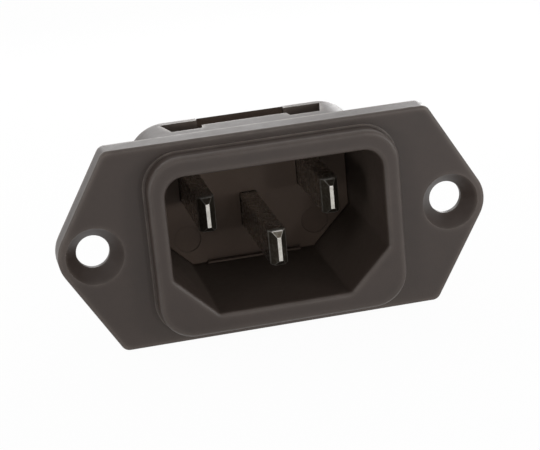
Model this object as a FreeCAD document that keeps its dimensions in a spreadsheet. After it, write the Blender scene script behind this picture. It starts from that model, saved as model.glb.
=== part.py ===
import FreeCAD, Part
import math
import os

import Sketcher
from FreeCAD import Vector

# Appliance inlet for panel mounting, screwed on by two ears.
# Origin: midway between the two screw holes, on the face of the flange that
# seats on the panel. +X runs along the line of holes, +Z is up, the cord
# connector enters from -Y and the wiring tabs point to +Y.

os.makedirs("parts", exist_ok=True)
doc = FreeCAD.newDocument("panel_inlet")

# ---------------------------------------------------------------- sizes, mm
SIZES = {
    # flange and its screw holes
    "hole_spacing": 40.0,
    "hole_diameter": 3.7,
    "countersink_diameter": 6.4,
    "countersink_angle": 71.5,
    "hole_rear_bevel": 0.3,
    "flange_border": 1.175,
    "flange_shoulder": 4.025,
    "flange_tip_radius": 4.0,
    "flange_corner_radius": 1.0,
    "flange_thickness": 2.75,
    "flange_rounding": 0.3,
    # collar in front of the flange, with a small step round its foot
    "collar_side_wall": 1.875,
    "collar_top_wall": 2.225,
    "collar_radius": 3.8,
    "collar_rise": 2.25,
    "foot_width": 0.25,
    "foot_rise": 0.3,
    "collar_rounding": 0.5,
    "mouth_rounding": 0.45,
    # recess for the cord connector, keyed by its two lower corners
    "recess_width": 24.1,
    "recess_height": 16.0,
    "recess_depth": 17.0,
    "recess_corner_radius": 2.2,
    "recess_chamfer": 4.65,
    "recess_blend_radius": 0.6,
    # sleeve behind the flange, with a stepped pocket in its top wall
    "sleeve_side_wall": 1.5,
    "sleeve_top_wall": 1.35,
    "sleeve_radius": 4.5,
    "pocket_width": 18.9,
    "pocket_length": 3.45,
    "pocket_depth": 1.0,
    "pocket_slant": 0.8,
    "rim_thickness": 0.95,
    "tongue_width": 10.3,
    "tongue_slant": 0.2,
    "tongue_reach": 1.25,
    # carrier that closes the sleeve and holds the terminals
    "carrier_entry": 1.15,
    "carrier_inset": 0.5,
    "carrier_plate": 2.05,
    "carrier_bevel": 1.4,
    "spigot_bevel": 0.12,
    "key_reach": 0.4,
    "key_rise": 0.05,
    "ledge_width": 11.2,
    "ledge_height": 0.28,
    "ledge_reach": 0.45,
    "groove_height": 0.3,
    "groove_depth": 0.4,
    "mark_diameter": 3.2,
    "mark_depth": 0.12,
    "mark_spacing": 15.4,
    "mark_drop": 4.7,
    "boss_wall": 1.2,
    "boss_length": 2.0,
    "seat_depth": 2.2,
    "slot_corner_radius": 0.2,
    "fit_clearance": 0.05,
    # terminals
    "blade_width": 2.0,
    "blade_height": 4.0,
    "blade_edge_radius": 0.15,
    "blade_spacing": 14.0,
    "earth_drop": 4.0,
    "live_setback": 4.0,
    "earth_setback": 0.9,
    "tip_side_taper": 0.8,
    "tip_side_length": 1.25,
    "tip_end_taper": 0.67,
    "tip_end_length": 0.75,
    "shoulder_width": 3.0,
    "shoulder_height": 5.2,
    "shoulder_length": 1.2,
    "tab_thickness": 0.8,
    "tab_width": 4.8,
    "tab_reach": 8.0,
    "tab_hole_diameter": 1.5,
    "tab_hole_setback": 3.2,
    "tab_bevel": 1.0,
}

sheet = doc.addObject("Spreadsheet::Sheet", "Sizes")
for row, (alias, number) in enumerate(SIZES.items(), start=1):
    sheet.set(f"A{row}", alias)
    sheet.set(f"B{row}", str(number))
    sheet.setAlias(f"B{row}", alias)
doc.recompute()


# A length known both as a number and as the expression that binds it to the
# spreadsheet, so that a sketch starts in its solved place and stays bound.
class Length:
    def __init__(self, value, text):
        self.value = value
        self.text = text

    def __add__(self, other):
        return Length(self.value + other.value, f"({self.text} + {other.text})")

    def __sub__(self, other):
        return Length(self.value - other.value, f"({self.text} - {other.text})")

    def __mul__(self, factor):
        return Length(self.value * factor, f"({self.text} * {factor})")

    def __neg__(self):
        return self * -1


def size(alias):
    return Length(float(sheet.get(alias)), f"Sizes.{alias}")


ZERO = Length(0.0, "0")
ORIGIN_POINT = (-1, 1)

# ------------------------------------------------- places along Y, from sizes
flange_front = -size("flange_thickness")
foot_front = flange_front - size("foot_rise")
collar_front = flange_front - size("collar_rise")
floor = collar_front + size("recess_depth")
sleeve_end = floor + size("carrier_entry")
plate_end = sleeve_end + size("carrier_plate")
boss_end = plate_end + size("boss_length")
tab_end = boss_end + size("tab_reach")
rim_front = sleeve_end - size("rim_thickness")
pocket_front = rim_front - size("pocket_length")
tongue_end = pocket_front + size("tongue_reach")
key_front = sleeve_end - size("key_reach")
shoulder_seat = boss_end - size("seat_depth")
clearance_gap = size("fit_clearance") * 2

# ----------------------------------------- outlines built out from the recess
collar_width = size("recess_width") + size("collar_side_wall") * 2
collar_height = size("recess_height") + size("collar_top_wall") * 2
sleeve_width = size("recess_width") + size("sleeve_side_wall") * 2
sleeve_height = size("recess_height") + size("sleeve_top_wall") * 2
flange_height = collar_height + size("flange_border") * 2
flange_flat_length = collar_width + size("flange_shoulder") * 2


# ------------------------------------------------------------ sketch helpers
def make_body(label):
    body = doc.addObject("PartDesign::Body", label)
    body.Label = label
    return body


def start_sketch(body, name, role, right=ZERO, up=ZERO, out=ZERO):
    plane = next(f for f in body.Origin.OriginFeatures if f.Role == role)
    sketch = body.newObject("Sketcher::SketchObject", name)
    sketch.AttachmentSupport = (plane, [""])
    sketch.MapMode = "FlatFace"
    for axis, place in zip("xyz", (right, up, out)):
        sketch.setExpression(f"AttachmentOffset.Base.{axis}", place.text)
    return sketch


# A sketch across the Y axis: its own axes are X and Z, its normal is -Y.
def sketch_across(body, name, y, x=ZERO, z=ZERO):
    return start_sketch(body, name, "XZ_Plane", right=x, up=z, out=-y)


def bind(sketch, kind, ends, length):
    index = sketch.addConstraint(Sketcher.Constraint(kind, *ends, length.value))
    sketch.setExpression(f"Constraints[{index}]", length.text)


# Closed outline of straight lines through corners given as pairs of Length.
def draw_polygon(sketch, corners):
    points = [Vector(x.value, y.value, 0) for x, y in corners]
    count = len(points)
    for index in range(count):
        start, end = points[index], points[(index + 1) % count]
        sketch.addGeometry(Part.LineSegment(start, end), False)
    for index in range(count):
        following = (index + 1) % count
        sketch.addConstraint(Sketcher.Constraint("Coincident", index, 2, following, 1))
    for index, (x, y) in enumerate(corners):
        bind(sketch, "DistanceX", (*ORIGIN_POINT, index, 1), x)
        bind(sketch, "DistanceY", (*ORIGIN_POINT, index, 1), y)


# Rectangle centred on the sketch's origin, its corners rounded.
def draw_rounded_rectangle(sketch, width, height, radius):
    half_x, half_y, r = width.value / 2, height.value / 2, radius.value
    signs = ((1, 1), (-1, 1), (-1, -1), (1, -1))
    centres = [Vector(sx * (half_x - r), sy * (half_y - r), 0) for sx, sy in signs]
    arcs, lines = [], []
    for quarter, centre in enumerate(centres):
        start = quarter * math.pi / 2
        circle = Part.Circle(centre, Vector(0, 0, 1), r)
        arc = Part.ArcOfCircle(circle, start, start + math.pi / 2)
        arcs.append(sketch.addGeometry(arc, False))
    following = arcs[1:] + arcs[:1]
    for arc, after in zip(arcs, following):
        side = Part.LineSegment(sketch.getPoint(arc, 2), sketch.getPoint(after, 1))
        lines.append(sketch.addGeometry(side, False))
    directions = ("Horizontal", "Vertical", "Horizontal", "Vertical")
    for arc, line, after, direction in zip(arcs, lines, following, directions):
        sketch.addConstraint(Sketcher.Constraint(direction, line))
        sketch.addConstraint(Sketcher.Constraint("Tangent", arc, 2, line, 1))
        sketch.addConstraint(Sketcher.Constraint("Tangent", line, 2, after, 1))
    for arc in arcs[1:]:
        sketch.addConstraint(Sketcher.Constraint("Equal", arcs[0], arc))
    sketch.addConstraint(Sketcher.Constraint("Symmetric", arcs[0], 3, arcs[2], 3, *ORIGIN_POINT))
    top, left, bottom, right = lines
    bind(sketch, "Radius", (arcs[0],), radius)
    bind(sketch, "DistanceX", (left, 1, right, 1), width)
    bind(sketch, "DistanceY", (bottom, 1, top, 1), height)


# Circles of one diameter about the given centres.
def draw_circles(sketch, centres, diameter):
    for index, (x, y) in enumerate(centres):
        centre = Vector(x.value, y.value, 0)
        sketch.addGeometry(Part.Circle(centre, Vector(0, 0, 1), diameter.value / 2), False)
        bind(sketch, "DistanceX", (*ORIGIN_POINT, index, 3), x)
        bind(sketch, "DistanceY", (*ORIGIN_POINT, index, 3), y)
        bind(sketch, "Diameter", (index,), diameter)


# The keyed outline shared by the recess and the carrier's spigot, drawn
# inside the recess walls by the given gap.
def draw_recess_outline(sketch, gap):
    half_x = size("recess_width") * 0.5 - gap
    half_y = size("recess_height") * 0.5 - gap
    leg = size("recess_chamfer") - gap * (2 - math.sqrt(2))
    radius = size("recess_corner_radius") - gap
    x, y, r = half_x.value, half_y.value, radius.value
    low, inner = leg.value - y, x - leg.value
    corners = ((-x + r, y), (x - r, y), (x, y - r), (x, low), (inner, -y),
               (-inner, -y), (-x, low), (-x, y - r))
    points = [Vector(*corner, 0) for corner in corners]
    top = sketch.addGeometry(Part.LineSegment(*points[:2]), False)
    sides = [sketch.addGeometry(Part.LineSegment(*pair), False)
             for pair in zip(points[2:], points[3:])]
    right, right_key, bottom, left_key, left = sides
    arcs = []
    for side, angle in ((1, 0.0), (-1, math.pi / 2)):
        circle = Part.Circle(Vector(side * (x - r), y - r, 0), Vector(0, 0, 1), r)
        arc = Part.ArcOfCircle(circle, angle, angle + math.pi / 2)
        arcs.append(sketch.addGeometry(arc, False))
    right_arc, left_arc = arcs
    for line, after in zip(sides, sides[1:]):
        sketch.addConstraint(Sketcher.Constraint("Coincident", line, 2, after, 1))
    for line in (top, bottom):
        sketch.addConstraint(Sketcher.Constraint("Horizontal", line))
    for line in (left, right):
        sketch.addConstraint(Sketcher.Constraint("Vertical", line))
    sketch.addConstraint(Sketcher.Constraint("Tangent", top, 2, right_arc, 2))
    sketch.addConstraint(Sketcher.Constraint("Tangent", right_arc, 1, right, 1))
    sketch.addConstraint(Sketcher.Constraint("Tangent", left, 2, left_arc, 2))
    sketch.addConstraint(Sketcher.Constraint("Tangent", left_arc, 1, top, 1))
    for arc in arcs:
        bind(sketch, "Radius", (arc,), radius)
    bind(sketch, "DistanceX", (*ORIGIN_POINT, right, 1), half_x)
    bind(sketch, "DistanceX", (left, 2, *ORIGIN_POINT), half_x)
    bind(sketch, "DistanceY", (*ORIGIN_POINT, top, 1), half_y)
    bind(sketch, "DistanceY", (bottom, 1, *ORIGIN_POINT), half_y)
    bind(sketch, "DistanceX", (bottom, 1, right_key, 1), leg)
    bind(sketch, "DistanceY", (bottom, 1, right_key, 1), leg)
    bind(sketch, "DistanceX", (left_key, 2, bottom, 2), leg)
    bind(sketch, "DistanceY", (bottom, 2, left_key, 2), leg)


# ----------------------------------------------------------- feature helpers
def add_feature(body, kind, name, sketch, length, reverse, symmetric=False):
    feature = body.newObject(f"PartDesign::{kind}", name)
    feature.Profile = sketch
    feature.Length = length.value
    feature.setExpression("Length", length.text)
    feature.Reversed = reverse
    feature.SideType = "Symmetric" if symmetric else "One side"
    sketch.Visibility = False
    return feature


# Material from a sketch across Y, grown to the front (-Y) or to the rear.
def pad_to_front(body, name, sketch, length):
    return add_feature(body, "Pad", name, sketch, length, reverse=False)


def pad_to_rear(body, name, sketch, length):
    return add_feature(body, "Pad", name, sketch, length, reverse=True)


def cut_all(body, name, sketch):
    feature = body.newObject("PartDesign::Pocket", name)
    feature.Profile = sketch
    feature.SideType = "Symmetric"
    feature.Type = "ThroughAll"
    sketch.Visibility = False
    return feature


def edges_where(shape, wanted):
    return [f"Edge{n}" for n, edge in enumerate(shape.Edges, start=1) if wanted(edge)]


def in_plane(axis, place):
    def wanted(edge):
        box = edge.BoundBox
        low, high = getattr(box, axis + "Min"), getattr(box, axis + "Max")
        return max(abs(low - place), abs(high - place)) < 0.001
    return wanted


def dress_edges(body, kind, name, amount, wanted):
    doc.recompute()
    base = body.Tip
    feature = body.newObject(f"PartDesign::{kind}", name)
    feature.Base = (base, edges_where(base.Shape, wanted))
    prop = "Radius" if kind == "Fillet" else "Size"
    setattr(feature, prop, amount.value)
    feature.setExpression(prop, amount.text)
    return feature


# ------------------------------------------------------------------- housing
# Long hexagon whose slanted sides run tangent to an arc about each screw hole.
def draw_flange_outline(sketch):
    flat = flange_flat_length
    height = flange_height
    spacing = size("hole_spacing")
    radius = size("flange_tip_radius")
    hole_x, r = spacing.value / 2, radius.value
    corner = Vector(flat.value / 2, height.value / 2, 0)
    reach = corner - Vector(hole_x, 0, 0)
    tangent = math.atan2(reach.y, reach.x) - math.acos(r / reach.Length)
    touch_x, touch_y = hole_x + r * math.cos(tangent), r * math.sin(tangent)
    ends = [
        ((-corner.x, corner.y), (corner.x, corner.y)),
        ((corner.x, corner.y), (touch_x, touch_y)),
        ((touch_x, -touch_y), (corner.x, -corner.y)),
        ((corner.x, -corner.y), (-corner.x, -corner.y)),
        ((-corner.x, -corner.y), (-touch_x, -touch_y)),
        ((-touch_x, touch_y), (-corner.x, corner.y)),
    ]
    lines, tips = [], []
    for start, end in ends:
        line = Part.LineSegment(Vector(*start, 0), Vector(*end, 0))
        lines.append(sketch.addGeometry(line, False))
    for side, middle in ((1, 0.0), (-1, math.pi)):
        circle = Part.Circle(Vector(side * hole_x, 0, 0), Vector(0, 0, 1), r)
        arc = Part.ArcOfCircle(circle, middle - tangent, middle + tangent)
        tips.append(sketch.addGeometry(arc, False))
    top, right_upper, right_lower, bottom, left_lower, left_upper = lines
    right_tip, left_tip = tips
    for first, second in ((top, right_upper), (right_lower, bottom),
                          (bottom, left_lower), (left_upper, top)):
        sketch.addConstraint(Sketcher.Constraint("Coincident", first, 2, second, 1))
    sketch.addConstraint(Sketcher.Constraint("Tangent", right_upper, 2, right_tip, 2))
    sketch.addConstraint(Sketcher.Constraint("Tangent", right_tip, 1, right_lower, 1))
    sketch.addConstraint(Sketcher.Constraint("Tangent", left_lower, 2, left_tip, 2))
    sketch.addConstraint(Sketcher.Constraint("Tangent", left_tip, 1, left_upper, 1))
    for tip, sign in ((right_tip, 0.5), (left_tip, -0.5)):
        bind(sketch, "DistanceX", (*ORIGIN_POINT, tip, 3), spacing * sign)
        sketch.addConstraint(Sketcher.Constraint("PointOnObject", tip, 3, -1))
        bind(sketch, "Radius", (tip,), radius)
    for line, sx, sy in ((top, -0.5, 0.5), (right_upper, 0.5, 0.5),
                         (bottom, 0.5, -0.5), (left_lower, -0.5, -0.5)):
        bind(sketch, "DistanceX", (*ORIGIN_POINT, line, 1), flat * sx)
        bind(sketch, "DistanceY", (*ORIGIN_POINT, line, 1), height * sy)


def add_flange(body):
    sketch = sketch_across(body, "flange_outline", ZERO)
    draw_flange_outline(sketch)
    pad_to_front(body, "flange", sketch, size("flange_thickness"))
    corner_x = flange_flat_length.value / 2

    def at_corner(edge):
        box = edge.BoundBox
        return box.YLength > 1 and abs(abs(box.XMin) - corner_x) < 0.001
    dress_edges(body, "Fillet", "flange_corners", size("flange_corner_radius"), at_corner)
    dress_edges(body, "Fillet", "flange_front_edge", size("flange_rounding"),
                in_plane("Y", flange_front.value))


# Screw holes, countersunk on the flange's front face and bevelled behind.
def add_screw_holes(body):
    sketch = sketch_across(body, "hole_centres", flange_front)
    half_spacing = size("hole_spacing") * 0.5
    draw_circles(sketch, [(half_spacing, ZERO), (-half_spacing, ZERO)], size("hole_diameter"))
    doc.recompute()
    holes = body.newObject("PartDesign::Hole", "screw_holes")
    holes.Profile = sketch
    holes.DepthType = "ThroughAll"
    holes.Diameter = size("hole_diameter").value
    holes.setExpression("Diameter", size("hole_diameter").text)
    holes.HoleCutType = "Countersink"
    holes.HoleCutDiameter = size("countersink_diameter").value
    holes.setExpression("HoleCutDiameter", size("countersink_diameter").text)
    holes.HoleCutCountersinkAngle = size("countersink_angle").value
    holes.setExpression("HoleCutCountersinkAngle", size("countersink_angle").text)
    sketch.Visibility = False

    def at_rear_rim(edge):
        return (in_plane("Y", 0)(edge)
                and abs(edge.BoundBox.ZLength - size("hole_diameter").value) < 0.001)
    dress_edges(body, "Chamfer", "hole_rear_edges", size("hole_rear_bevel"), at_rear_rim)


def add_collar(body):
    foot, radius = size("foot_width"), size("collar_radius")
    sketch = sketch_across(body, "foot_outline", ZERO)
    draw_rounded_rectangle(sketch, collar_width + foot * 2, collar_height + foot * 2,
                           radius + foot)
    pad_to_front(body, "collar_foot", sketch, -foot_front)
    sketch = sketch_across(body, "collar_outline", ZERO)
    draw_rounded_rectangle(sketch, collar_width, collar_height, radius)
    pad_to_front(body, "collar", sketch, -collar_front)
    dress_edges(body, "Fillet", "collar_front_edge", size("collar_rounding"),
                in_plane("Y", collar_front.value))


def add_sleeve(body):
    sketch = sketch_across(body, "sleeve_outline", ZERO)
    draw_rounded_rectangle(sketch, sleeve_width, sleeve_height,
                           size("sleeve_radius"))
    pad_to_rear(body, "sleeve", sketch, sleeve_end)


# Passage for the cord connector, from the collar to the end of the sleeve.
def add_recess(body):
    sketch = sketch_across(body, "recess_outline", ZERO)
    draw_recess_outline(sketch, ZERO)
    cut_all(body, "recess", sketch)
    chamfer_x = size("recess_width").value / 2 - size("recess_chamfer").value
    chamfer_z = size("recess_height").value / 2 - size("recess_chamfer").value
    half_x, half_z = size("recess_width").value / 2, size("recess_height").value / 2

    def at_key_corner(edge):
        box = edge.BoundBox
        x, z = abs(box.Center.x), box.Center.z
        low = abs(x - chamfer_x) < 0.001 and abs(z + half_z) < 0.001
        high = abs(x - half_x) < 0.001 and abs(z + chamfer_z) < 0.001
        return box.YLength > 1 and (low or high)
    dress_edges(body, "Fillet", "key_corner_blends", size("recess_blend_radius"), at_key_corner)
    reach = size("recess_width").value / 2 + size("mouth_rounding").value

    def at_mouth(edge):
        box = edge.BoundBox
        return in_plane("Y", collar_front.value)(edge) and max(-box.XMin, box.XMax) < reach
    dress_edges(body, "Fillet", "recess_mouth", size("mouth_rounding"), at_mouth)


# Pocket in the sleeve's top wall, narrower in front. Its front edge steps back
# in a tongue and its rear rim is split for the carrier's key.
def add_top_pocket(body):
    pocket_floor = sleeve_height * 0.5 - size("pocket_depth")
    half_pocket, half_tongue = size("pocket_width") * 0.5, size("tongue_width") * 0.5
    half_front = half_pocket - size("pocket_slant")
    half_tongue_end = half_tongue - size("tongue_slant")
    past_rim = sleeve_end + size("rim_thickness")
    sketch = start_sketch(body, "pocket_outline", "XY_Plane", out=pocket_floor)
    draw_polygon(sketch, [
        (-half_front, pocket_front),
        (-half_tongue, pocket_front),
        (-half_tongue_end, tongue_end),
        (half_tongue_end, tongue_end),
        (half_tongue, pocket_front),
        (half_front, pocket_front),
        (half_pocket, rim_front),
        (half_tongue, rim_front),
        (half_tongue, past_rim),
        (-half_tongue, past_rim),
        (-half_tongue, rim_front),
        (-half_pocket, rim_front),
    ])
    add_feature(body, "Pocket", "top_pocket", sketch, size("pocket_depth") * 2, reverse=True)


def build_housing():
    body = make_body("housing")
    add_flange(body)
    add_screw_holes(body)
    add_collar(body)
    add_sleeve(body)
    add_recess(body)
    add_top_pocket(body)
    return body


# ---------------------------------------------------------- terminal carrier
live_x = size("blade_spacing") * 0.5
live_z = size("earth_drop") * 0.5
BLADES = {
    "line_terminal": (-live_x, live_z, size("live_setback")),
    "neutral_terminal": (live_x, live_z, size("live_setback")),
    "earth_terminal": (ZERO, -live_z, size("earth_setback")),
}


def add_carrier_plate(body):
    inset = size("carrier_inset")
    sketch = sketch_across(body, "plate_outline", sleeve_end)
    draw_rounded_rectangle(sketch, sleeve_width - inset * 2,
                           sleeve_height - inset * 2, size("sleeve_radius") - inset)
    pad_to_rear(body, "plate", sketch, size("carrier_plate"))
    dress_edges(body, "Chamfer", "plate_bevel", size("carrier_bevel"),
                in_plane("Y", plate_end.value))
    sketch = sketch_across(body, "spigot_outline", floor)
    draw_recess_outline(sketch, size("fit_clearance"))
    pad_to_rear(body, "spigot", sketch, size("carrier_entry") + size("carrier_plate") * 0.5)
    dress_edges(body, "Chamfer", "spigot_edge", size("spigot_bevel"),
                in_plane("Y", floor.value))


# Key that fills the split in the sleeve's rim; its top falls to the rear.
def add_key(body):
    pocket_floor = sleeve_height * 0.5 - size("pocket_depth")
    bottom = pocket_floor + size("fit_clearance")
    top = sleeve_height * 0.5 + size("key_rise")
    sketch = start_sketch(body, "key_profile", "YZ_Plane")
    draw_polygon(sketch, [
        (key_front, bottom),
        (key_front, top),
        (plate_end - size("carrier_bevel"), bottom),
    ])
    width = size("tongue_width") - clearance_gap
    add_feature(body, "Pad", "key", sketch, width, reverse=False, symmetric=True)


# Low ledge along the foot of the recess floor, with a groove above it.
def add_ledge(body):
    bottom = size("fit_clearance") - size("recess_height") * 0.5
    top = size("ledge_height") - size("recess_height") * 0.5
    groove_top = top + size("groove_height")
    half_width = size("ledge_width") * 0.5
    sketch = start_sketch(body, "ledge_profile", "YZ_Plane")
    draw_polygon(sketch, [
        (floor - size("ledge_reach"), bottom),
        (floor + size("carrier_entry"), bottom),
        (floor + size("carrier_entry"), top),
        (floor - size("ledge_reach"), top),
    ])
    add_feature(body, "Pad", "ledge", sketch, size("ledge_width"), reverse=False, symmetric=True)
    sketch = sketch_across(body, "groove_outline", floor)
    draw_polygon(sketch, [
        (-half_width, top),
        (half_width, top),
        (half_width, groove_top),
        (-half_width, groove_top),
    ])
    add_feature(body, "Pocket", "ledge_groove", sketch, size("groove_depth"), reverse=False)


# Boss on the rear, with a seat for the terminal's shoulder and a blade slot.
def add_boss(body, name, x, z):
    wall = size("boss_wall")
    seat_width = size("shoulder_width") + clearance_gap
    seat_height = size("shoulder_height") + clearance_gap
    corner = size("slot_corner_radius")
    sketch = sketch_across(body, f"{name}_boss_outline", plate_end, x, z)
    draw_rounded_rectangle(sketch, seat_width + wall * 2, seat_height + wall * 2, wall)
    pad_to_rear(body, f"{name}_boss", sketch, size("boss_length"))
    sketch = sketch_across(body, f"{name}_seat_outline", boss_end, x, z)
    draw_rounded_rectangle(sketch, seat_width, seat_height, corner)
    add_feature(body, "Pocket", f"{name}_seat", sketch, size("seat_depth"), reverse=True)
    sketch = sketch_across(body, f"{name}_slot_outline", ZERO, x, z)
    draw_rounded_rectangle(sketch, size("blade_width") + clearance_gap,
                           size("blade_height") + clearance_gap, corner)
    cut_all(body, f"{name}_slot", sketch)


def build_carrier():
    body = make_body("terminal_carrier")
    add_carrier_plate(body)
    add_key(body)
    add_ledge(body)
    for name, (x, z, setback) in BLADES.items():
        add_boss(body, name, x, z)
    sketch = sketch_across(body, "mark_centres", floor)
    half_marks = size("mark_spacing") * 0.5
    centres = [(side, -size("mark_drop")) for side in (half_marks, -half_marks)]
    draw_circles(sketch, centres, size("mark_diameter"))
    add_feature(body, "Pocket", "round_marks", sketch, size("mark_depth"), reverse=False)
    return body


# ----------------------------------------------------------------- terminals
# Modelled about the centre of its shoulder seat: the blade runs to -Y with a
# tip tapered on four sides, the shoulder and the wiring tab run to +Y.
def build_terminal(label, x, z, setback):
    body = make_body(label)
    blade_tip = collar_front + setback - shoulder_seat
    taper_start = blade_tip + size("tip_side_length")
    edge = size("blade_edge_radius")
    width, height = size("blade_width"), size("blade_height")
    tip_width = width - size("tip_side_taper") * 2

    sketch = sketch_across(body, "blade_section", ZERO)
    draw_rounded_rectangle(sketch, width, height, edge)
    pad_to_front(body, "blade", sketch, -taper_start)

    base = sketch_across(body, "taper_section", taper_start)
    draw_rounded_rectangle(base, width, height, edge)
    point = sketch_across(body, "tip_section", blade_tip)
    draw_rounded_rectangle(point, tip_width, height, edge)
    tip = body.newObject("PartDesign::AdditiveLoft", "tip")
    tip.Profile = base
    tip.Sections = [point]
    tip.Ruled = True
    doc.recompute()
    for sign in (1, -1):
        edge_z = height * (0.5 * sign)
        sketch = start_sketch(body, f"end_taper_{'upper' if sign > 0 else 'lower'}", "YZ_Plane")
        draw_polygon(sketch, [
            (blade_tip, edge_z - size("tip_end_taper") * sign),
            (blade_tip + size("tip_end_length"), edge_z),
            (blade_tip, edge_z),
        ])
        name = f"{sketch.Name}_cut"
        add_feature(body, "Pocket", name, sketch, width, reverse=False, symmetric=True)

    sketch = sketch_across(body, "shoulder_section", ZERO)
    draw_rounded_rectangle(sketch, size("shoulder_width"), size("shoulder_height"), edge)
    pad_to_rear(body, "shoulder", sketch, size("shoulder_length"))

    half_tab, end = size("tab_width") * 0.5, tab_end - shoulder_seat
    sketch = start_sketch(body, "tab_outline", "YZ_Plane")
    draw_polygon(sketch, [
        (size("shoulder_length") * 0.5, half_tab),
        (end - size("tab_bevel"), half_tab),
        (end, half_tab - size("tab_bevel")),
        (end, size("tab_bevel") - half_tab),
        (end - size("tab_bevel"), -half_tab),
        (size("shoulder_length") * 0.5, -half_tab),
    ])
    add_feature(body, "Pad", "tab", sketch, size("tab_thickness"), reverse=False, symmetric=True)
    sketch = start_sketch(body, "tab_hole_centre", "YZ_Plane")
    draw_circles(sketch, [(end - size("tab_hole_setback"), ZERO)], size("tab_hole_diameter"))
    cut_all(body, "tab_hole", sketch)

    for axis, place in zip("xyz", (x, shoulder_seat, z)):
        body.setExpression(f"Placement.Base.{axis}", place.text)
    return body


# ------------------------------------------------------------ build and write
bodies = [build_housing(), build_carrier()]
for name, (x, z, setback) in BLADES.items():
    bodies.append(build_terminal(name, x, z, setback))
doc.recompute()

for item in doc.Objects:
    if "Invalid" in item.State or "Error" in item.State:
        raise RuntimeError(f"{item.Name} failed: {item.State}")
for body in bodies:
    shape = body.Shape
    if shape.isNull() or not shape.isValid() or len(shape.Solids) != 1:
        raise RuntimeError(f"{body.Label} is not one valid solid")
    shape.exportStep(f"parts/{body.Label}.step")
    print(f"{body.Label}: {shape.Volume:.1f} mm3")
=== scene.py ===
import math

import bpy
import bmesh
from mathutils import Euler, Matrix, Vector


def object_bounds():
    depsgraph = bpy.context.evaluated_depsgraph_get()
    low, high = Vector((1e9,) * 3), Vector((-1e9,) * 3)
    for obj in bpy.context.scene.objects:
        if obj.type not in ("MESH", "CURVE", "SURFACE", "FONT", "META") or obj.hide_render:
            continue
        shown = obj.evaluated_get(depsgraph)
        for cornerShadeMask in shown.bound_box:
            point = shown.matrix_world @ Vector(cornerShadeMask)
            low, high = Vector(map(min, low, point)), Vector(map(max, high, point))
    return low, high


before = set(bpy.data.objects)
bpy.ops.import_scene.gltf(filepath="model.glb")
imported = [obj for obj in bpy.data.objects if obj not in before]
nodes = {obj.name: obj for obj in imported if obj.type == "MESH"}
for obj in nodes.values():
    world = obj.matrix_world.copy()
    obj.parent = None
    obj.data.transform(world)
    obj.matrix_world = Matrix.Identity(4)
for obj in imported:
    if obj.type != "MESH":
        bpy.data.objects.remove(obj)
frameLow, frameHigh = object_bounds()
mm = 0.001
print("frame loaded with", len(nodes), "nodes")


class Wire:  # an output socket of a node tree that can be used in sums
    def __init__(self, tree, socket=None):
        self.tree = tree
        self.socket = socket

    def node(self, kind, settings=None, sockets=None, out=0):
        made = self.tree.nodes.new(kind)
        for key, value in (settings or {}).items():
            if key == "stops":
                ramp = made.color_ramp.elements
                while len(ramp) < len(value):
                    ramp.new(1.0)
                for stop, (position, level) in zip(ramp, value):
                    stop.position = position
                    stop.color = (level, level, level, 1.0)
            else:
                setattr(made, key, value)
        for key, value in (sockets or {}).items():
            if isinstance(value, Wire):
                self.tree.links.new(value.socket, made.inputs[key])
            else:
                made.inputs[key].default_value = value
        return Wire(self.tree, made.outputs[out] if made.outputs else None)

    def maths(self, operation, first, second=0.0):
        return self.node("ShaderNodeMath", {"operation": operation}, {0: first, 1: second})

    def __add__(self, other):
        return self.maths("ADD", self, other)

    def __radd__(self, other):
        return self.maths("ADD", other, self)

    def __sub__(self, other):
        return self.maths("SUBTRACT", self, other)

    def __rsub__(self, other):
        return self.maths("SUBTRACT", other, self)

    def __mul__(self, other):
        return self.maths("MULTIPLY", self, other)

    def __rmul__(self, other):
        return self.maths("MULTIPLY", other, self)

    def size(self):  # without its sign
        return self.maths("ABSOLUTE", self)

    def capped(self):
        return self.node("ShaderNodeClamp", {}, {"Value": self})

    def over(self, span):  # 0 up to 1 over that span
        return (self * (1 / span)).capped()

    def tint(self, low, high):  # a colour between two, by this wire
        sockets = {0: self, 6: low, 7: high}
        return self.node("ShaderNodeMix", {"data_type": "RGBA"}, sockets, out=2)

    def noise(self, across, detail=2.0, rough=0.5):  # blobs of about that many metres across
        sockets = {"Vector": self, "Scale": 1.0 / across, "Detail": detail, "Roughness": rough}
        return self.node("ShaderNodeTexNoise", {}, sockets)

    def ramp(self, *stops):
        return self.node("ShaderNodeValToRGB", {"stops": stops}, {"Fac": self})


def colour(red, green, blue):  # screen values 0 to 255
    def linear(level):
        level /= 255
        return level / 12.92 if level < 0.04045 else ((level + 0.055) / 1.055) ** 2.4
    return (linear(red), linear(green), linear(blue), 1.0)


def startMaterial(name):
    material = bpy.data.materials.new(name)
    material.use_nodes = True
    material.node_tree.nodes.clear()
    place = Wire(material.node_tree).node("ShaderNodeTexCoord", out="Object")
    return material, place


# The share of directions that are blocked within that reach.
def shut(place, reach, inside, alone=True):
    settings = {"samples": 8, "inside": inside, "only_local": alone}
    return 1 - place.node("ShaderNodeAmbientOcclusion", settings, {"Distance": reach}, out="AO")


# 1 on convex edges when inside, 1 in corners when not.
def edgeMask(place, reach, inside):
    return (shut(place, reach, inside) * 2.0).capped()


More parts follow.
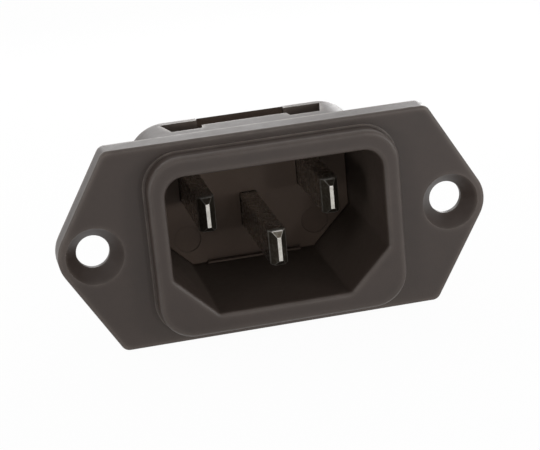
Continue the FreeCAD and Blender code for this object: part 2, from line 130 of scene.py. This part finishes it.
mouldingLook = {  # what both plastics share
    "cloud": 7 * mm,
    "mottle": 0.9 * mm,
    "wearAndHighlightPatch": 2.2 * mm,
    "cornerShadeReach": 0.9 * mm,
    "bounceLightReach": 20 * mm,
    # lighter edges: partly wear, partly painted highlight; rims: painted highlight only
    "edgeWearAndHighlight": 0.55,
    "rimHighlight": 0.35,
    "paintedCornerShade": 0.25,
}
housingLook = {
    **mouldingLook,
    "shade": colour(52, 43, 38),
    "pale": colour(59, 49, 44),
    "wornAndHighlit": colour(116, 106, 99),
    "paintedBounceLight": colour(69, 60, 54),  # painted bounce light: lighter colour inside the recess
    "roughness": 0.46,
    "gloss": 1.45,
    "grain": 0.16 * mm,
    "grainDepth": 0.012 * mm,
    "edgeReach": 0.55 * mm,
    "rimHighlightReach": 1.1 * mm,
    "edgeRadius": 0.09 * mm,
}
carrierLook = {
    **mouldingLook,
    "shade": colour(51, 42, 37),
    "pale": colour(58, 48, 43),
    "wornAndHighlit": colour(96, 84, 76),
    "paintedBounceLight": colour(104, 89, 79),
    "roughness": 0.46,
    "gloss": 1.24,
    "grain": 0.22 * mm,
    "grainDepth": 0.006 * mm,
    "edgeReach": 0.16 * mm,
    "rimHighlightReach": 0.4 * mm,
    "edgeRadius": 0.06 * mm,
}


def mouldedPlastic(name, look):
    material, place = startMaterial(name)
    clouds = place.noise(look["cloud"], 3, 0.55)
    mottle = place.noise(look["mottle"], 3, 0.6)
    grain = place.noise(look["grain"], 2, 0.6)
    coarse = place.noise(look["grain"] * 2.7, 1, 0.5)
    # edges: lighter colour that is partly wear and partly a painted highlight
    edge = edgeMask(place, look["edgeReach"], True)
    # painted highlight: a soft light band along convex edges
    rimHighlightMask = edgeMask(place, look["rimHighlightReach"], True)
    # painted shade: concave corners are darkened towards the shade colour
    cornerShadeMask = edgeMask(place, look["cornerShadeReach"], False)
    # painted bounce light: where the recess shuts out the surroundings, the base turns to a
    # lighter colour
    enclosed = shut(place, look["bounceLightReach"], inside=False, alone=False)
    bounceLightMask = enclosed.ramp((0.5, 0.0), (0.74, 1.0))
    patch = (clouds * 0.65 + mottle * 0.35).ramp((0.35, 0.0), (0.68, 1.0))
    wornAndHighlit = place.noise(look["wearAndHighlightPatch"], 3, 0.6).ramp((0.34, 0.25), (0.62, 1.0))
    wearAndHighlight = (edge * wornAndHighlit).capped()
    outer = patch.tint(look["shade"], look["pale"])
    body = bounceLightMask.tint(outer, look["paintedBounceLight"])
    # painted highlight on edges and rims, mixed with patchy edge wear
    lightened = (wearAndHighlight * look["edgeWearAndHighlight"] + rimHighlightMask * rimHighlightMask * look["rimHighlight"]).capped()
    edged = lightened.tint(body, look["wornAndHighlit"])
    # painted shade in concave corners
    base = (cornerShadeMask * look["paintedCornerShade"]).tint(edged, look["shade"])
    roughness = look["roughness"] + (mottle - 0.5) * 0.14 + (clouds - 0.5) * 0.1 - wearAndHighlight * 0.1
    height = grain * 0.65 + coarse * 0.35
    rounded = place.node("ShaderNodeBevel", {"samples": 6}, {"Radius": look["edgeRadius"]})
    bump = place.node("ShaderNodeBump", {}, {
        "Strength": 1.0,
        "Distance": look["grainDepth"],
        "Height": height,
        "Normal": rounded,
    })
    surface = place.node("ShaderNodeBsdfPrincipled", {}, {
        "Base Color": base,
        "Roughness": roughness,
        "IOR": look["gloss"],
        "Normal": bump,
    })
    place.node("ShaderNodeOutputMaterial", {}, {"Surface": surface})
    return material


terminalLook = {
    "metal": (0.38, 0.36, 0.32, 1.0),
    # the bright colour serves real plating streaks and painted highlights
    "brightPlateAndHighlight": (0.60, 0.58, 0.54, 1.0),
    # painted dark reflection on the tip chamfers
    "darkReflectionChamfer": (0.09, 0.075, 0.055, 1.0),
    "tarnish": (0.36, 0.29, 0.20, 1.0),
    "roughness": 0.27,
    "drawn": 0.05 * mm,
    "drawnStretch": 0.04,
    "lineDepth": 0.0007 * mm,
    "edgeRadius": 0.07 * mm,
    "edgeReach": 0.09 * mm,
    "band": 0.4 * mm,
    "patch": 1.6 * mm,
    "speck": 0.3 * mm,
    "chamferStart": 0.02 * mm,  # behind the cut end
    "chamferEnd": 1.5 * mm,
    "highlightLineAcross": 0.88 * mm,  # from the blade's middle
    "highlightLineUp": 1.86 * mm,
}


# The tip is the middle of the blade's cut end.
def platedMetal(name, look, tip):
    material, place = startMaterial(name)
    along = place.node("ShaderNodeMapping", {}, {
        "Vector": place,
        "Scale": (1.0, look["drawnStretch"], 1.0),
    })
    lines = along.noise(look["drawn"], 2, 0.6)
    bands = along.noise(look["band"], 2, 0.5)
    patches = place.noise(look["patch"], 3, 0.6)
    specks = place.noise(look["speck"], 2, 0.7)
    # painted highlight along the blade's convex edges
    edge = edgeMask(place, look["edgeReach"], True)
    across, behind, up = [
        place.node("ShaderNodeSeparateXYZ", {}, {"Vector": place}, out=axis) - start
        for axis, start in zip("XYZ", tip)
    ]
    # painted dark reflection: the tip's chamfers get a dark base colour and a rougher finish
    past = (behind - look["chamferStart"]).over(0.03 * mm)
    before = (look["chamferEnd"] - behind).over(0.3 * mm)
    darkReflectionChamfer = past * before
    # painted highlight lines along the tip chamfers' outer edges, broken up by specks
    sides = (across.size() - look["highlightLineAcross"]).over(0.05 * mm)
    ends = (up.size() - look["highlightLineUp"]).over(0.05 * mm)
    highlightBreakup = specks.ramp((0.3, 0.35), (0.55, 1.0))
    paintedHighlightLines = (sides * 0.6 + ends).capped() * darkReflectionChamfer * highlightBreakup
    streaks = (bands * 0.6 + patches * 0.4).ramp((0.3, 0.0), (0.7, 1.0))
    plated = streaks.tint(look["metal"], look["brightPlateAndHighlight"])
    # painted dark reflection on the chamfers, broken up by specks
    chamferDarkened = (darkReflectionChamfer * specks.ramp((0.4, 1.0), (0.7, 0.8))).tint(plated, look["darkReflectionChamfer"])
    stain = (patches * specks * 2.2).ramp((0.8, 0.0), (1.0, 0.4))
    dulled = stain.tint(chamferDarkened, look["tarnish"])
    # painted highlight: edges and chamfer outlines take the bright colour
    base = (edge + paintedHighlightLines).capped().tint(dulled, look["brightPlateAndHighlight"])
    uneven = (lines - 0.5) * 0.16 + (patches - 0.5) * 0.16
    roughness = look["roughness"] + uneven + darkReflectionChamfer * 0.14
    rounded = place.node("ShaderNodeBevel", {"samples": 6}, {"Radius": look["edgeRadius"]})
    bump = place.node("ShaderNodeBump", {}, {
        "Strength": 1.0,
        "Distance": look["lineDepth"],
        "Height": lines * 0.6 + specks * 0.4,
        "Normal": rounded,
    })
    surface = place.node("ShaderNodeBsdfPrincipled", {}, {
        "Base Color": base,
        "Metallic": 1.0,
        "Roughness": roughness,
        "Normal": bump,
    })
    place.node("ShaderNodeOutputMaterial", {}, {"Surface": surface})
    return material


finishes = {
    "housing": mouldedPlastic("housing_plastic_grained", housingLook),
    "terminal_carrier": mouldedPlastic("carrier_plastic_smooth", carrierLook),
}
bladeTips = {
    "line_terminal": (-7 * mm, -1.0 * mm, 2 * mm),
    "neutral_terminal": (7 * mm, -1.0 * mm, 2 * mm),
    "earth_terminal": (0.0, -4.1 * mm, -2 * mm),
}
for name, tip in bladeTips.items():
    finishes[name] = platedMetal(name + "_plated", terminalLook, tip)
for name, material in finishes.items():
    for holder in nodes[name].material_slots:
        holder.material = material
print("finishes on", len(finishes), "nodes")


floorLook = {
    "size": 3.0,
    "shade": (0.82, 0.82, 0.82, 1.0),
    "paper": 0.97,  # how much of what the lens sees is plain white paper
}


def seenRays(wire):  # 1 for what the lens sees, also in gloss and through glass
    camera = wire.node("ShaderNodeLightPath", out="Is Camera Ray")
    glossy = wire.node("ShaderNodeLightPath", out="Is Glossy Ray")
    through = wire.node("ShaderNodeLightPath", out="Is Transmission Ray")
    return (camera + glossy + through).capped()


def makeFloor(look):
    mesh = bmesh.new()
    bmesh.ops.create_grid(mesh, x_segments=1, y_segments=1, size=look["size"])
    bmesh.ops.translate(mesh, verts=mesh.verts, vec=(0, 0, frameLow.z))
    data = bpy.data.meshes.new("floor")
    mesh.to_mesh(data)
    mesh.free()
    floor = bpy.data.objects.new("floor", data)
    bpy.context.scene.collection.objects.link(floor)
    material, place = startMaterial("floor_white")
    matt = place.node("ShaderNodeBsdfDiffuse", {}, {"Color": look["shade"]})
    paper = place.node("ShaderNodeEmission", {}, {"Color": (1, 1, 1, 1), "Strength": 1.0})
    share = seenRays(place) * look["paper"]
    both = place.node("ShaderNodeMixShader", {}, {0: share, 1: matt, 2: paper})
    place.node("ShaderNodeOutputMaterial", {}, {"Surface": both})
    data.materials.append(material)


studioLook = {
    "sky": 0.35,
    "lamps": [  # name, place, size and power
        ("front", (0.17, -0.56, 0.10), 0.16, 0.09),
        ("low", (0.10, -0.283, 0.004), 0.02, 0.045),
        ("left", (-0.455, -0.382, 0.084), 0.14, 0.64),
        ("right", (0.151, -0.127, 0.031), 0.05, 0.095),
        ("top", (0.0, -0.05, 0.60), 0.40, 0.27),
        ("backLeft", (-0.38, 0.32, 0.34), 0.40, 1.0),
        ("backRight", (0.38, 0.32, 0.34), 0.40, 0.50),
        ("rear", (0.0, 0.15, 0.055), 0.08, 0.040),
        ("rearRight", (0.09, 0.12, 0.05), 0.06, 0.10),
    ],
}


def makeStudio(look):
    world = bpy.data.worlds.new("studio")
    world.use_nodes = True
    world.node_tree.nodes.clear()
    wire = Wire(world.node_tree)
    strength = seenRays(wire) * (1 - look["sky"]) + look["sky"]
    white = {"Color": (1, 1, 1, 1), "Strength": strength}
    sky = wire.node("ShaderNodeBackground", {}, white)
    wire.node("ShaderNodeOutputWorld", {}, {"Surface": sky})
    bpy.context.scene.world = world
    middle = (frameLow + frameHigh) / 2
    for name, place, size, power in look["lamps"]:
        lamp = bpy.data.lights.new(name, "AREA")
        lamp.size = size
        lamp.energy = power
        holder = bpy.data.objects.new(name, lamp)
        holder.location = place
        holder.rotation_euler = (middle - Vector(place)).to_track_quat("-Z", "Y").to_euler()
        bpy.context.scene.collection.objects.link(holder)


cameraLook = {
    "place": (-36.345 * mm, -185.221 * mm, 62.933 * mm),
    "turn": (71.374, 5.007, -12.760),
    "lens": 119.66,
    "sensor": 36.0,
}


def makeCamera(look):
    lens = bpy.data.cameras.new("camera")
    lens.lens = look["lens"]
    lens.sensor_width = look["sensor"]
    lens.clip_start = 0.01
    lens.clip_end = 20.0
    camera = bpy.data.objects.new("camera", lens)
    camera.location = look["place"]
    camera.rotation_euler = Euler([math.radians(angle) for angle in look["turn"]])
    bpy.context.scene.collection.objects.link(camera)
    bpy.context.scene.camera = camera


makeFloor(floorLook)
makeStudio(studioLook)
makeCamera(cameraLook)
bpy.context.scene.view_settings.view_transform = "Standard"
print("floor, lamps and camera set")
